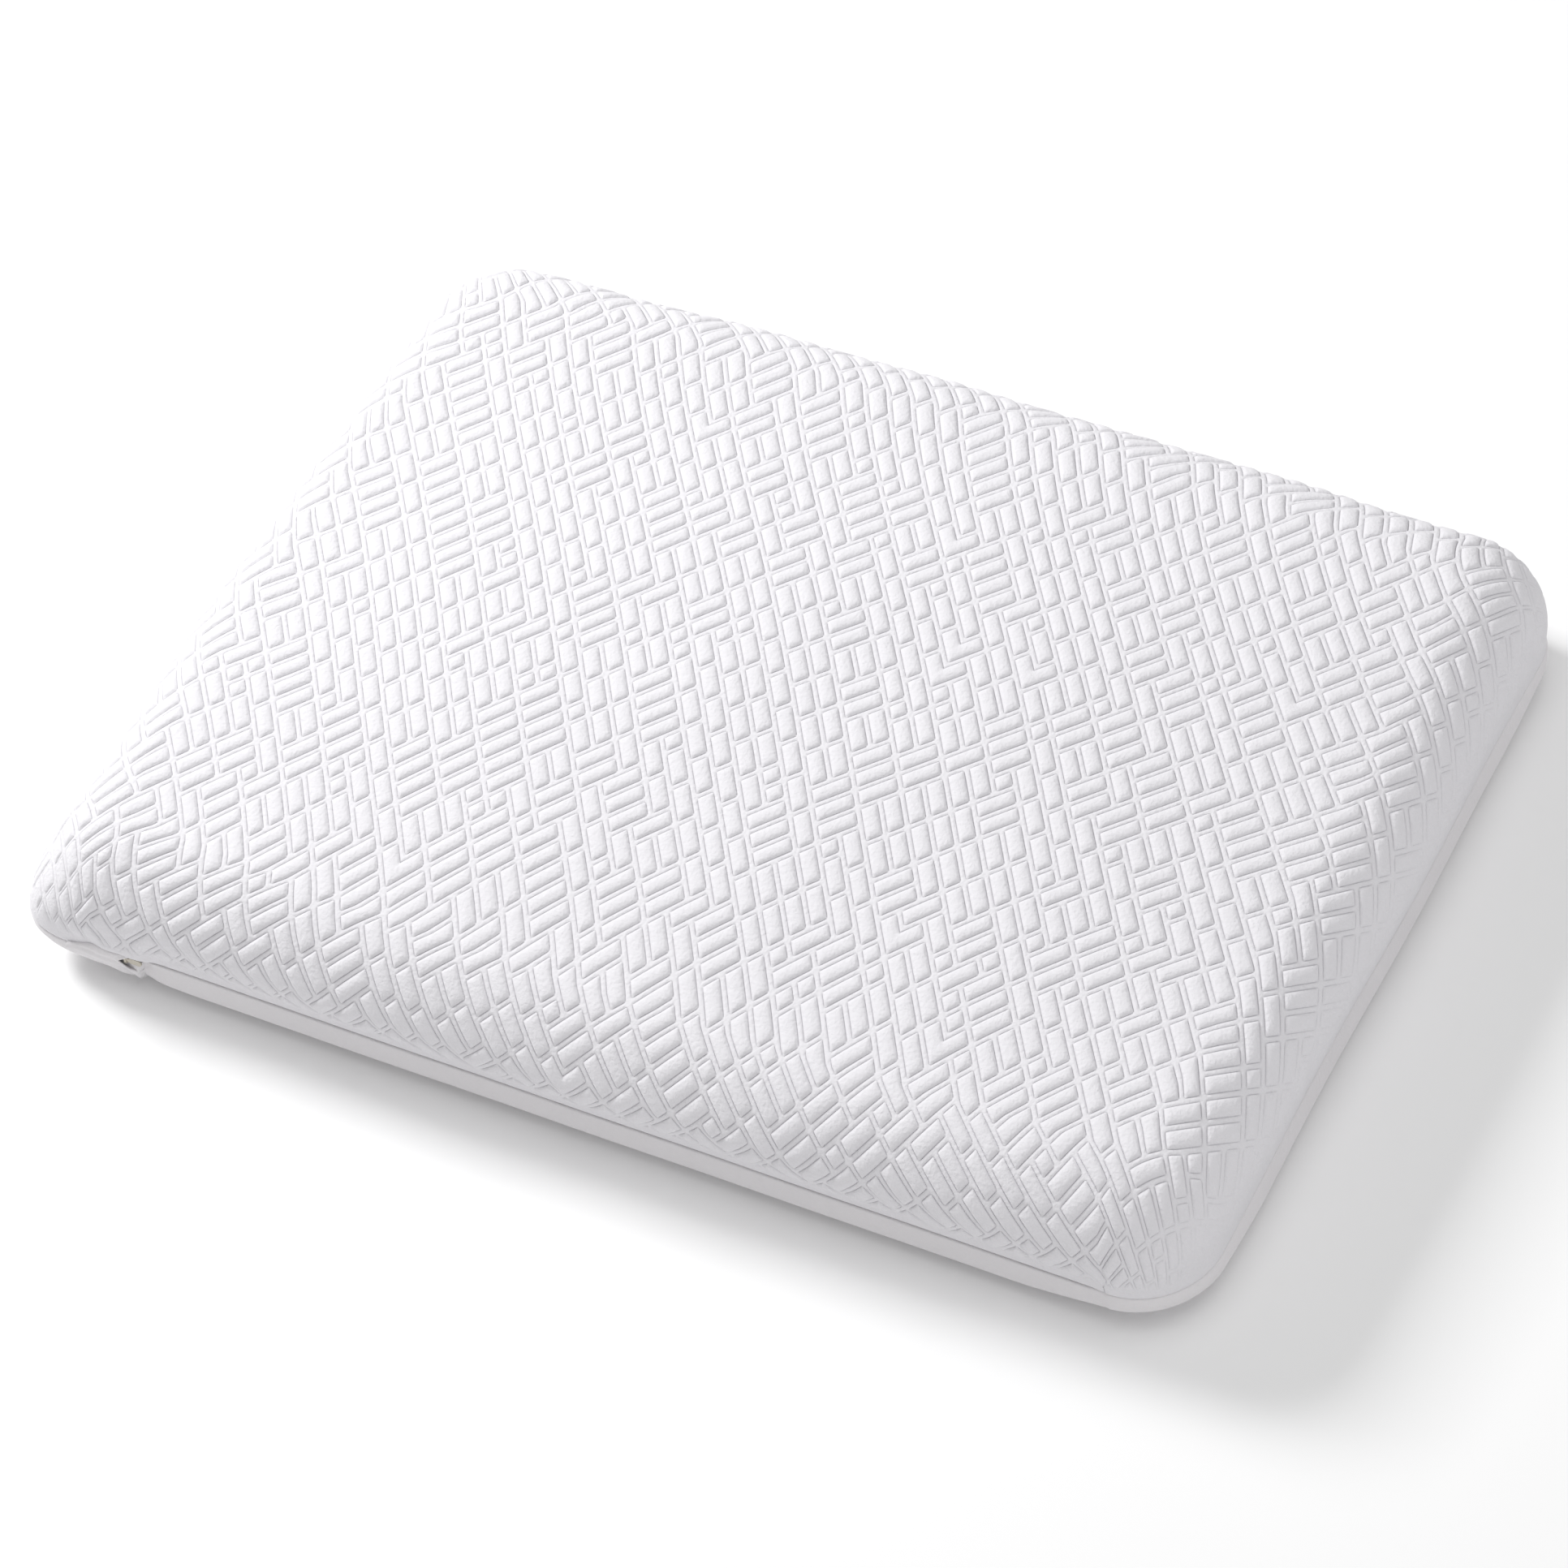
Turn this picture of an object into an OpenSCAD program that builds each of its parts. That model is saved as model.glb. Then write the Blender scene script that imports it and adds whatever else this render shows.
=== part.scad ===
// Zipped foam pillow: a loaf-shaped foam core in a knitted liner, inside a removable
// cover with a quilted top panel, a plain base panel and a concealed zip along the front.
// Origin: centre of the footprint, on the resting face. +X is the long side, +Z is up and
// the zip is on the -Y side.

/* [Pillow] */
// Length at the seam, where the ends are straight
seam_l = 590; // [510:5:690]
// Width at the seam, where the long sides are straight
seam_w = 430; // [370:5:490]
// Height at the crown
pillow_h = 94; // [92:1:120]
// Rise of the crown above the rounded top edge
crown = 14; // [6:1:15]
// How far the middle of each side bows out above the seam
swell = 9; // [6:0.5:10]
// Height over which the sides go from straight to fully bowed
swell_h = 30; // [24:1:36]
// Corner radius seen from above
corner_r = 38; // [36:1:60]
// Radius of the top edge
top_edge_r = 46; // [24:1:48]
// Radius of the base edge
base_edge_r = 15; // [11:1:18]

/* [Cover and liner] */
// Thickness of the quilted top panel
quilt_t = 2.4; // [1.6:0.1:3]
// Thickness of the plain base panel
plain_t = 1.6; // [1.2:0.1:2.4]
// Height of the seam between the two panels
seam_z = 26; // [20:0.5:28]
// Thickness of the liner
liner_t = 0.8; // [0.4:0.1:1.2]
// Clear space between two layers of cloth or foam
layer_gap = 0.3; // [0.2:0.1:0.6]
// Clear space between the foam and its liner
core_gap = 0.8; // [0.6:0.1:2]
// Width of the overlocked seam thread inside the cover
overlock_w = 3.2; // [2:0.1:5]

/* [Zip] */
// Opening between the panel edges
slit = 1.8; // [1.6:0.1:2.4]
// Width of one zip tape
tape_w = 12; // [9:0.5:14]
// Thickness of a zip tape
tape_t = 0.6; // [0.4:0.1:0.8]
// Diameter of one coil
coil_d = 2.2; // [1.8:0.1:2.6]
// Thickness of the slider's plates
plate_t = 0.8; // [0.7:0.1:1]
// Length of the slider
slider_l = 9; // [7:0.5:12]
// Length of the pull from its pivot to its tip
pull_l = 9; // [8:0.5:16]
// Width of the pull
pull_w = 3.8; // [3.2:0.1:6]
// Radius of the pull's pivot pin
pin_r = 0.45; // [0.4:0.05:0.5]
// Length of the folded garage over the slider's parked end
garage_l = 26; // [18:1:34]

/* [Hidden] */

// Steps along one plan corner, one straight side, one edge radius and the crown
corner_steps = 6;
side_steps = 6;
edge_steps = 8;
crown_steps = 9;

half_l = seam_l / 2;
half_w = seam_w / 2;

// Depths behind the cover's front face: tape, coil and the slider's inner plate
run_gap = 0.3;
tape_d = quilt_t + 0.1;
coil_in_d = tape_d + tape_t;
coil_out_d = coil_in_d + coil_d;
plate_d = coil_out_d + run_gap;
zip_space = plate_d + plate_t + run_gap;

// The slider's wedge passes between the coils with run_gap on each side
wedge_t = 0.9;
coil_edge = wedge_t / 2 + run_gap;
flange_z = coil_edge + coil_d + run_gap;

// Zip along the straight part of the front
zip_x = half_l - corner_r;
end_margin = 8;
stop_gap = 0.4;
slider_x = -zip_x + end_margin + slider_l / 2 + 1;

// Pull pivot, out from the front face
head_out = 0.4;
pin_out = head_out + plate_t + 1;
pull_eye_r = 0.95;
pull_clearance = 0.06;
pull_t = 0.8;

// A layer is [side, front, base, top, bow]: how far it lies inside the cover's sides and
// front, above the resting face and under the crown, and how far its sides bow out
cover_skin = [0, 0, 0, 0, swell];
cover_top_lining = [quilt_t, quilt_t, plain_t, quilt_t, swell];
cover_base_lining = [plain_t, plain_t, plain_t, plain_t, swell];
liner_skin = [quilt_t + overlock_w, zip_space, plain_t + layer_gap, quilt_t + layer_gap, 0];
liner_lining = deeper(liner_skin, liner_t);
core_skin = deeper(liner_lining, core_gap);
liner_split_z = pillow_h / 2;

function deeper(layer, d) = [for (i = [0:4]) i < 4 ? layer[i] + d : layer[i]];
function smooth(t) = let (c = min(max(t, 0), 1)) c * c * (3 - 2 * c);

// Rounded rectangle, anticlockwise from +X, with its sides bowed out by BOW in the middle
function plan(hl, hw, r, z, bow, dy) = [
    for (side = [0:3])
        let (sx = side == 0 || side == 3 ? 1 : -1, sy = side < 2 ? 1 : -1,
             next_sx = side == 0 || side == 2 ? -sx : sx,
             next_sy = side == 1 || side == 3 ? -sy : sy, end_a = (side + 1) * 90)
            each concat(
                [for (i = [0:corner_steps])
                    let (a = side * 90 + 90 * i / corner_steps)
                        swelled([sx * (hl - r) + r * cos(a), sy * (hw - r) + r * sin(a)],
                                hl, hw, z, bow, dy)],
                [for (i = [1:side_steps - 1])
                    let (t = i / side_steps,
                         p = [sx * (hl - r) + r * cos(end_a), sy * (hw - r) + r * sin(end_a)],
                         q = [next_sx * (hl - r) + r * cos(end_a),
                              next_sy * (hw - r) + r * sin(end_a)])
                        swelled(p + t * (q - p), hl, hw, z, bow, dy)])];

function swelled(p, hl, hw, z, bow, dy) =
    [p.x + sign(p.x) * bow * (1 - pow(p.y / hw, 2)) * pow(abs(p.x) / hl, 6),
     p.y + sign(p.y) * bow * (1 - pow(p.x / hl, 2)) * pow(abs(p.y) / hw, 6) + dy, z];

// Sizes of the loaf that lies LAYER inside the cover
function loaf_hl(layer) = half_l - layer[0];
function loaf_hw(layer) = half_w - (layer[0] + layer[1]) / 2;
function loaf_dy(layer) = (layer[1] - layer[0]) / 2;
function edge_r(layer) = top_edge_r - layer[3];
function slope_a(layer) = atan(2 * crown / (loaf_hw(layer) - edge_r(layer)));
function edge_z(layer) = pillow_h - layer[3] - crown;
function wall_z(layer) = edge_z(layer) - edge_r(layer) * cos(slope_a(layer));
function tip(layer, z) = [0, loaf_dy(layer), z];
function bow_at(layer, z) = layer[4] * smooth((z - seam_z) / swell_h);

// One ring of the loaf, INSET from its wall at height Z
function ring(layer, inset, z) =
    plan(loaf_hl(layer) - inset, loaf_hw(layer) - inset, corner_r - layer[0] - inset * 0.6, z,
         bow_at(layer, z), loaf_dy(layer));

// Height of the crown at X, Y from its middle, where it reaches AX and AY to its edges
function crown_z(layer, x, y, ax, ay) =
    edge_z(layer) + crown * (1 - pow(x / ax, 2)) * (1 - pow(y / ay, 2));

// Rings from the crown down to z_stop
function rings_down(layer, z_stop) =
    let (a0 = slope_a(layer), r = edge_r(layer), inset0 = r * (1 - sin(a0)),
         rim = ring(layer, inset0, edge_z(layer)), dy = loaf_dy(layer),
         ax = loaf_hl(layer) - inset0 + layer[4], ay = loaf_hw(layer) - inset0 + layer[4])
        concat(
            [for (i = [1:crown_steps])
                let (u = i / (crown_steps + 1))
                    [for (p = rim)
                        let (x = p.x * u, y = (p.y - dy) * u)
                            [x, y + dy, crown_z(layer, x, y, ax, ay)]]],
            [for (i = [0:edge_steps])
                let (a = (90 - a0) * (1 - i / edge_steps))
                    ring(layer, r * (1 - cos(a)), wall_z(layer) + r * sin(a))],
            z_stop < wall_z(layer) ? [ring(layer, 0, (wall_z(layer) + z_stop) / 2)] : [],
            z_stop < wall_z(layer) ? [ring(layer, 0, z_stop)] : []);

// Rings of the top surface, cut off at z_stop where that is above the wall
function cap_down(layer, z_stop) =
    concat([for (r = rings_down(layer, z_stop)) if (r[0].z > z_stop + 1) r],
           [cut_ring(layer, z_stop)]);

function cut_ring(layer, z) =
    let (h = max(z - wall_z(layer), 0), r = edge_r(layer))
        ring(layer, r - sqrt(r * r - h * h), z);

// Rings from z_start down round the base edge to the resting face
function rings_base(layer, z_start) =
    let (r = base_edge_r - layer[2])
        concat([ring(layer, 0, z_start)],
               [for (i = [0:edge_steps / 2])
                   let (a = 180 * i / edge_steps)
                       ring(layer, r * (1 - cos(a)), layer[2] + r * (1 - sin(a)))]);

// Rings of the lower cup, from z_start above the wall down to the resting face
function cup_down(layer, z_start) =
    concat([cut_ring(layer, z_start), cut_ring(layer, (z_start + wall_z(layer)) / 2)],
           rings_base(layer, wall_z(layer)));

function reversed(list) = [for (i = [len(list) - 1:-1:0]) list[i]];

// Closed solid through a list of rings, ended by a tip on each side
module skin(rings, first_tip, last_tip) {
    n = len(rings[0]);
    m = len(rings);
    points = concat([first_tip], [for (r = rings) each r], [last_tip]);
    faces = concat(
        [for (k = [0:n - 1]) [0, 1 + (k + 1) % n, 1 + k]],
        [for (i = [0:m - 2], k = [0:n - 1])
            let (a = 1 + i * n + k, b = 1 + i * n + (k + 1) % n) [a, b, b + n]],
        [for (i = [0:m - 2], k = [0:n - 1])
            let (a = 1 + i * n + k, b = 1 + i * n + (k + 1) % n) [a, b + n, a + n]],
        [for (k = [0:n - 1])
            let (a = 1 + (m - 1) * n) [m * n + 1, a + k, a + (k + 1) % n]]);
    polyhedron(points, faces, convexity = 6);
}

// Square bar swept along an open path of points, W wide and H high
module bar(path, w, h) {
    m = len(path);
    function along(i) =
        let (d = path[min(i + 1, m - 1)] - path[max(i - 1, 0)], l = norm([d.x, d.y]))
            [d.x / l, d.y / l, 0];
    sections = [for (i = [0:m - 1])
        let (t = along(i), s = [-t.y, t.x, 0] * w / 2, up = [0, 0, h / 2])
            [path[i] - s - up, path[i] + s - up, path[i] + s + up, path[i] - s + up]];
    faces = concat(
        [[3, 2, 1, 0]],
        [for (i = [0:m - 2], k = [0:3])
            let (a = 4 * i + k, b = 4 * i + (k + 1) % 4) [a, b, b + 4, a + 4]],
        [[4 * m - 4, 4 * m - 3, 4 * m - 2, 4 * m - 1]]);
    polyhedron([for (s = sections) each s], faces, convexity = 6);
}

// Place at the zip: +X along it, +Y into the pillow from the front face, z = 0 on the slit
module at_zip(x = 0) {
    translate([x, -half_w, seam_z]) children();
}

// A block from one corner to the other
module block(from, to) {
    translate(from) cube(to - from);
}

module foam_core() {
    color("#f3efe2")
        skin(concat(rings_down(core_skin, wall_z(core_skin)), rings_base(core_skin, seam_z)),
             tip(core_skin, edge_z(core_skin) + crown), tip(core_skin, core_skin[2]));
}

module liner_top() {
    z = liner_split_z + layer_gap / 2;
    color("#fbfbfb")
        skin(concat(cap_down(liner_skin, z), reversed(cap_down(liner_lining, z))),
             tip(liner_skin, edge_z(liner_skin) + crown),
             tip(liner_lining, edge_z(liner_lining) + crown));
}

module liner_base() {
    z = liner_split_z - layer_gap / 2;
    outer = cup_down(liner_skin, z);
    inner = cup_down(liner_lining, z);
    color("#fbfbfb")
        skin(concat(reversed(inner), outer), tip(liner_lining, liner_lining[2]),
             tip(liner_skin, liner_skin[2]));
}

// Thread that closes the liner all round, just outside it
module liner_seam() {
    thread_t = 0.8;
    thread_h = 2;
    outside = deeper(liner_skin, -layer_gap - thread_t);
    inside = deeper(liner_skin, -layer_gap);
    low = liner_split_z - thread_h / 2;
    high = liner_split_z + thread_h / 2;
    color("#e8e8e8")
        difference() {
            skin([cut_ring(outside, high), cut_ring(outside, low)], tip(outside, high),
                 tip(outside, low));
            skin([cut_ring(inside, high + 1), cut_ring(inside, low - 1)],
                 tip(inside, high + 1), tip(inside, low - 1));
        }
}

module cover_top_panel() {
    rim = seam_z + slit / 2;
    color("#f7f7fa")
        skin(concat(rings_down(cover_skin, rim), reversed(rings_down(cover_top_lining, rim))),
             tip(cover_skin, pillow_h), tip(cover_top_lining, pillow_h - quilt_t));
}

module cover_base_panel() {
    rim = seam_z - slit / 2;
    color("#f2f2f5")
        skin(concat(reversed(rings_base(cover_base_lining, rim)), rings_base(cover_skin, rim)),
             tip(cover_base_lining, plain_t), tip(cover_skin, 0));
}

// Overlock thread behind the panels' edges, from one end of the zip round the back to the other
module cover_seam() {
    thread_w = overlock_w - 1;
    thread_h = 4.6;
    depth = quilt_t + layer_gap + thread_w / 2;
    loop = ring([depth, depth, 0, 0, 0], 0, seam_z);
    first = 3 * (corner_steps + side_steps);
    n = len(loop);
    last = 2 * (corner_steps + side_steps) + corner_steps;
    color("#ececf0")
        bar([for (i = [first:last + n]) loop[i % n]], thread_w, thread_h);
}

module zip_tape(side) {
    z0 = coil_edge;
    color("#efeff2")
        at_zip()
            mirror([0, 0, side < 0 ? 1 : 0])
                block([-zip_x, tape_d, z0], [zip_x, tape_d + tape_t, z0 + tape_w]);
}

module zip_tape_top() {
    zip_tape(1);
}

module zip_tape_base() {
    zip_tape(-1);
}

// Closed coil, drawn as its round envelope
module zip_coil(side) {
    coil_l = 2 * (zip_x - end_margin);
    color("#f4f4f6")
        at_zip()
            translate([-coil_l / 2, coil_in_d + coil_d / 2, side * (coil_edge + coil_d / 2)])
                rotate([0, 90, 0])
                    cylinder(h = coil_l, r = coil_d / 2, $fn = 32);
}

module zip_coil_top() {
    zip_coil(1);
}

module zip_coil_base() {
    zip_coil(-1);
}

// Lockstitch row that holds a tape to its panel, on the tape's inner face
module tape_stitch(side) {
    stitch_l = 3.4;
    thread_t = 0.4;
    thread_w = 0.5;
    off_tape = 0.05;
    pitch = 6;
    first = 0.3 * pitch;
    count = floor(2 * zip_x / pitch);
    row_z = coil_edge + tape_w * 0.75;
    color("#dcdce0")
        at_zip()
            for (i = [0:count - 1])
                translate([first - zip_x + i * pitch, tape_d + tape_t + off_tape,
                           side * row_z - thread_w / 2])
                    cube([stitch_l, thread_t, thread_w]);
}

module tape_stitch_top() {
    tape_stitch(1);
}

module tape_stitch_base() {
    tape_stitch(-1);
}

// Pair of crimped stops past the closed end of the coils
module top_stops() {
    stop_l = 2.4;
    color("#c9c4b6")
        at_zip(-zip_x + end_margin - stop_l - stop_gap)
            for (side = [0, 1])
                mirror([0, 0, side])
                    block([0, coil_in_d, coil_edge], [stop_l, coil_out_d, coil_edge + coil_d]);
}

// Box stop that joins the coils at the open end
module bottom_stop() {
    box_l = 3.4;
    color("#c9c4b6")
        at_zip(zip_x - end_margin + stop_gap)
            block([0, coil_in_d, -coil_edge - coil_d], [box_l, coil_out_d, coil_edge + coil_d]);
}

// Dense bars of thread across both ends of the tapes
module bar_tacks() {
    bar_l = 2;
    bar_t = 0.85;
    bar_h = 10;
    off_tape = 0.05;
    from_end = 0.6;
    color("#e2e2e6")
        for (x = [from_end - zip_x, zip_x - from_end - bar_l])
            at_zip(x)
                translate([0, coil_in_d + off_tape, -bar_h / 2])
                    cube([bar_l, bar_t, bar_h]);
}

// Folded strip of cover cloth over the parked end of the zip, open towards +X
module zip_garage() {
    wall = 0.9;
    inner_out = pin_out + pull_eye_r + 0.4;
    outer_out = inner_out + wall;
    half_h = 4.9;
    front_half_h = 3.9;
    inner_half_h = 3.4;
    back = 1.1;
    foot = 2.2;
    slope_l = 5;
    open_x = slider_x - 2.2;
    end_x = open_x - garage_l;
    color("#f3f3f6")
        at_zip()
            difference() {
                hull() {
                    block([end_x + slope_l, -outer_out, -front_half_h],
                          [open_x, -back, front_half_h]);
                    block([end_x, -foot, -half_h], [open_x, -back, half_h]);
                }
                block([end_x + slope_l + foot, -inner_out, -inner_half_h],
                      [open_x + 1, 1, inner_half_h]);
            }
}

// Slider: inner plate and flanges round the coils, a wedge through the slit, and a head
// with two lugs and the pivot pin outside
module zip_slider() {
    half = slider_l / 2;
    head_x = half * 0.7;
    wedge_x = half * 0.4;
    lug_half_l = 1;
    lug_over = 0.8;
    lug_z = 1.5;
    lug_t = 0.6;
    color("#cfc8b8")
        at_zip(slider_x) {
            block([-half, plate_d, -flange_z - plate_t],
                  [half, plate_d + plate_t, flange_z + plate_t]);
            for (side = [0, 1])
                mirror([0, 0, side])
                    block([-half, coil_in_d + run_gap, flange_z],
                          [half, plate_d + plate_t, flange_z + plate_t]);
            block([-half, -head_out - plate_t, -wedge_t / 2],
                  [wedge_x, plate_d + plate_t, wedge_t / 2]);
            block([-half, -head_out - plate_t, -lug_z - lug_t],
                  [head_x, -head_out, lug_z + lug_t]);
            for (side = [0, 1])
                mirror([0, 0, side])
                    block([-lug_half_l, -pin_out - lug_over, lug_z],
                          [lug_half_l, -head_out, lug_z + lug_t]);
            translate([0, -pin_out, -lug_z - lug_t])
                cylinder(h = 2 * (lug_z + lug_t), r = pin_r, $fn = 32);
        }
}

// Pull: an eye round the pin, a narrow stem between the lugs and a wider round-ended blade
module zip_pull() {
    stem_w = 2.4;
    blade_x = 3;
    color("#cfc8b8")
        at_zip(slider_x)
            translate([0, -pin_out, 0])
                difference() {
                    union() {
                        translate([0, 0, -stem_w / 2])
                            cylinder(h = stem_w, r = pull_eye_r, $fn = 32);
                        block([0, -pull_t / 2, -stem_w / 2], [blade_x, pull_t / 2, stem_w / 2]);
                        block([blade_x - 0.5, -pull_t / 2, -pull_w / 2],
                              [pull_l - pull_w / 2, pull_t / 2, pull_w / 2]);
                        translate([pull_l - pull_w / 2, pull_t / 2, 0])
                            rotate([90, 0, 0])
                                cylinder(h = pull_t, r = pull_w / 2, $fn = 32);
                    }
                    translate([0, 0, -stem_w])
                        cylinder(h = 2 * stem_w, r = pin_r + pull_clearance, $fn = 32);
                }
}

foam_core();
liner_top();
liner_base();
liner_seam();
cover_top_panel();
cover_base_panel();
cover_seam();
zip_tape_top();
zip_tape_base();
zip_coil_top();
zip_coil_base();
tape_stitch_top();
tape_stitch_base();
top_stops();
bottom_stop();
bar_tacks();
zip_garage();
zip_slider();
zip_pull();
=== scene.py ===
"""Zipped foam pillow on a pale studio floor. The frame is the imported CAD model; the cover's
quilted top panel, its plain base panel, the folded zip garage, the liner and the foam core
are rebuilt here as soft shapes, and the zip's coils as windings. Everything else keeps its
CAD mesh."""

import math
import random

import bpy
import numpy as np
from mathutils import Matrix, Vector


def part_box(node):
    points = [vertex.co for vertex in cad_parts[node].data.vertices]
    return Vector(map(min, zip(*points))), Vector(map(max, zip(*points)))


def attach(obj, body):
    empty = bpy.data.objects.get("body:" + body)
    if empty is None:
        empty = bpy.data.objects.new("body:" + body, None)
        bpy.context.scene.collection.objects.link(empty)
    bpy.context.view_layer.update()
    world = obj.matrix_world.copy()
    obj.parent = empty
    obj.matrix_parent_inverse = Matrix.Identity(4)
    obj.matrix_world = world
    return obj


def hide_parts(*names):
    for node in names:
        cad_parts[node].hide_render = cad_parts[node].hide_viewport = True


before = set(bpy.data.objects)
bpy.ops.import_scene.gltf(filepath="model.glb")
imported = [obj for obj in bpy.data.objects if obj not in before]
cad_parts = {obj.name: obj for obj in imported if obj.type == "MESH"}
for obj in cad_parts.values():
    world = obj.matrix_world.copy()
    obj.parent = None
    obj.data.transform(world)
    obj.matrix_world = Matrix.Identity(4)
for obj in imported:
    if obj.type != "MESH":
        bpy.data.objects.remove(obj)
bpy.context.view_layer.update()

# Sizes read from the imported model, in metres
base_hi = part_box("cover_base_panel")[1]
top_lo, top_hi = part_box("cover_top_panel")
HALF_L, HALF_W, HEIGHT = base_hi.x, base_hi.y, top_hi.z
SEAM_Z = (base_hi.z + top_lo.z) / 2
ZIP_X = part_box("zip_tape_top")[1].x

# Shape of the loaf, as in the CAD
CORNER_R = HALF_L - ZIP_X
CROWN = 0.014
SWELL = 0.009
SWELL_H = 0.030
TOP_EDGE_R = 0.046
BASE_EDGE_R = 0.015

# Rolled panel edges at the seam
TUCK_R = 0.0011
LIP = 0.0010
GAP = 0.00002
ZIP_GAP = 0.0006

# Quilting: direction and repeat of the two sets of channels, seen from above, the mesh lines in
# one cell, half a channel's width in cells, stitches per cell, and the height of the blocks and
# depth of the stitch line
ACROSS_A, ACROSS_P = math.radians(35.6), 0.01007
ALONG_A, ALONG_P = math.radians(139.8), 0.00982
CELL_STEPS = (0.0, 0.082, 0.122, 0.175, 0.29, 0.5, 0.71, 0.825, 0.878, 0.918)
CHANNEL = 0.122
STITCHES = 13
PUFF = 0.00120
GROOVE = 0.00034

# Where the seam opens over the parked zip slider, how far each panel edge is drawn back there,
# and how far the top panel's edge stands out over it
SLOT = (-0.264, -0.226)
SLOT_UP, SLOT_DOWN = 0.0042, 0.0022
SLOT_BULGE = 0.0032
BULGE_EASE, BULGE_TOP = 0.013, 0.018

# Pleat in the base panel below the slider: x of its foot, of its left and its right end at the
# seam, and the heights of its foot and of the seam
PLEAT = (-0.2412, -0.2495, -0.2358, 0.003, 0.024)

# How far the garage reaches along the zip: in the notch round the pull, and above and below it
MOUTH = (-0.2462, -0.2368)

# Front left corner: the cover stands out past the foam in a soft ear. Its size, its reach along
# the two sides, the height where it ends, the heights over which it fades and its direction
EAR = 0.0186
EAR_REACH = (0.034, 0.052)
EAR_TOP = 0.061
EAR_FADE_TOP, EAR_FADE_BASE = 0.035, 0.028
EAR_OUT = (-0.883, -0.469)


def smooth(t):
    t = np.clip(t, 0.0, 1.0)
    return t * t * (3 - 2 * t)


def norm(v):
    return v / np.maximum(np.linalg.norm(v, axis=1, keepdims=True), 1e-12)


class Loaf:
    """The pillow's loaf shape, lying some depth inside the cover's sides, front, base and crown."""

    def __init__(self, side=0.0, front=0.0, base=0.0, top=0.0, bow=SWELL):
        self.hl, self.hw = HALF_L - side, HALF_W - (side + front) / 2
        self.mid_y = (front - side) / 2
        self.base, self.bow = base, bow
        self.corner = CORNER_R - side
        edge_r = TOP_EDGE_R - top
        slope = math.atan(2 * CROWN / (self.hw - edge_r))
        self.inset = edge_r * (1 - math.sin(slope))
        self.edge_z = HEIGHT - top - CROWN
        self.base_r = BASE_EDGE_R - base

    def rim(self, inset):
        """Half length, half width and corner radius of the outline at an inset from the walls."""
        return self.hl - inset, self.hw - inset, self.corner - 0.6 * inset

    def nearest(self, p, inset):
        """For plan points P, the core point and outward direction of the outline at INSET, and
        the distance outside it."""
        hx, hy, r = self.rim(inset)
        half = np.array([hx - r, hy - r])
        core = np.clip(p, -half, half)
        out = p - core
        far = np.linalg.norm(out, axis=1)
        return core, out / np.maximum(far, 1e-9)[:, None], far - r

    def outline(self, core, out, inset, z, first):
        """Points of the outline at INSET and height Z, for core points of the outline at the
        inset FIRST."""
        hx0, hy0, r0 = self.rim(first)
        hx, hy, r = self.rim(inset)
        x = core[:, 0] * (hx - r) / (hx0 - r0) + out[:, 0] * r
        y = core[:, 1] * (hy - r) / (hy0 - r0) + out[:, 1] * r
        x, y = self.bowed(x, y, hx, hy, z)
        if self.bow:
            across = (x + HALF_L) / EAR_REACH[0], (y + HALF_W) / EAR_REACH[1]
            ear = EAR * np.exp(-across[0] ** 2 - across[1] ** 2)
            ear = ear * smooth((EAR_TOP - z) / EAR_FADE_TOP) * smooth((z + 0.004) / EAR_FADE_BASE)
            x, y = x + ear * EAR_OUT[0], y + ear * EAR_OUT[1]
            over_slot = smooth((x - SLOT[0] - 0.001) / 0.014) * smooth((SLOT[1] - x) / BULGE_EASE)
            low = smooth((z - SEAM_Z) / 0.002) * smooth((SEAM_Z + BULGE_TOP - z) / BULGE_EASE)
            y = y - SLOT_BULGE * over_slot * low * smooth(-10 * out[:, 1] - 9)
        return np.stack([x, y + self.mid_y, z], axis=1)

    def bowed(self, x, y, hx, hy, z):
        bow = self.bow * smooth((z - SEAM_Z) / SWELL_H)
        return (
            x + np.sign(x) * bow * (1 - (y / hy) ** 2) * (np.abs(x) / hx) ** 6,
            y + np.sign(y) * bow * (1 - (x / hx) ** 2) * (np.abs(y) / hy) ** 6,
        )

    def dome(self, p):
        hx, hy, _ = self.rim(self.inset)
        x, y = self.bowed(p[:, 0], p[:, 1], hx, hy, np.full(len(p), HEIGHT))
        ax, ay = hx + self.bow, hy + self.bow
        z = self.edge_z + CROWN * (1 - (x / ax) ** 2) * (1 - (y / ay) ** 2)
        return np.stack([x, y + self.mid_y, z], axis=1)

    def edge(self, core, out):
        """Rim height, rim slope, edge radius and its lower end, for points on the top's rim."""
        r = self.rim(self.inset)[2]
        a = self.dome(core + out * r)
        b = self.dome(core + out * (r - 1e-4))
        fall = b - a
        slope = np.arctan2(fall[:, 2], np.linalg.norm(fall[:, :2], axis=1))
        slope = np.maximum(slope, 0)
        radius = self.inset / (1 - np.sin(slope))
        return a[:, 2], slope, radius, a[:, 2] - radius * np.cos(slope)

    def seam_gap(self, core, out, first, slot):
        """Distance of a panel's edge from the seam line. SLOT is how far it is drawn back over
        the slider."""
        hx0, _, r0 = self.rim(first)
        r = self.corner
        x = core[:, 0] * (self.hl - r) / (hx0 - r0) + out[:, 0] * r
        front = smooth((-out[:, 1] - 0.9) / 0.09)
        on_zip = smooth((ZIP_X - 0.002 - np.abs(x)) / 0.006) * front
        open_here = smooth((x - SLOT[0]) / 0.016) * smooth((SLOT[1] - x) / 0.02) * front
        return GAP + (ZIP_GAP - GAP) * on_zip + slot * open_here

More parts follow.
